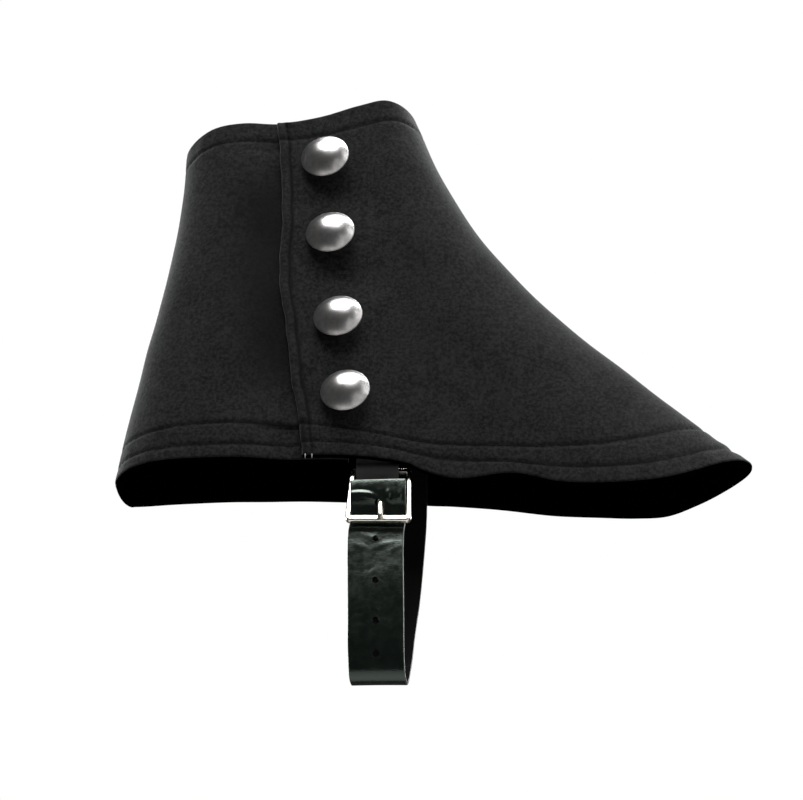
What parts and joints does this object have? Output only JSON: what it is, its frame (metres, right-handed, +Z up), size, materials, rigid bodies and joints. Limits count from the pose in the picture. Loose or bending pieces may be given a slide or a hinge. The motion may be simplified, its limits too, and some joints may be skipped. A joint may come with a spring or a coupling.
{
  "type": "spat (boot cover), one",
  "caption": "Black felt spat in its worn form, empty, with domed metal buttons down the outer side and a buckled leather strap that goes under the foot.",
  "frame": {"origin": "middle of the top opening, where the ankle fills it", "axes": "+X towards the toe, -Y to the outer side with the buttons, +Z up the leg"},
  "size_m": [0.2744, 0.0542, 0.291],
  "materials": {
    "felt": "napped wool felt",
    "leather": "glossy, creased",
    "button_metal": "silvered and spun",
    "buckle_metal": "nickel plated"
  },
  "bodies": {
    "root": {"front_outer": "felt", "back_outer": "felt", "inner_side": "felt", "button_1": "button_metal", "button_2": "button_metal", "button_3": "button_metal", "button_4": "button_metal", "strap": "leather", "chape": "leather", "buckle_frame": "buckle_metal", "buckle_prong": "buckle_metal"}
  },
  "joints": []
}
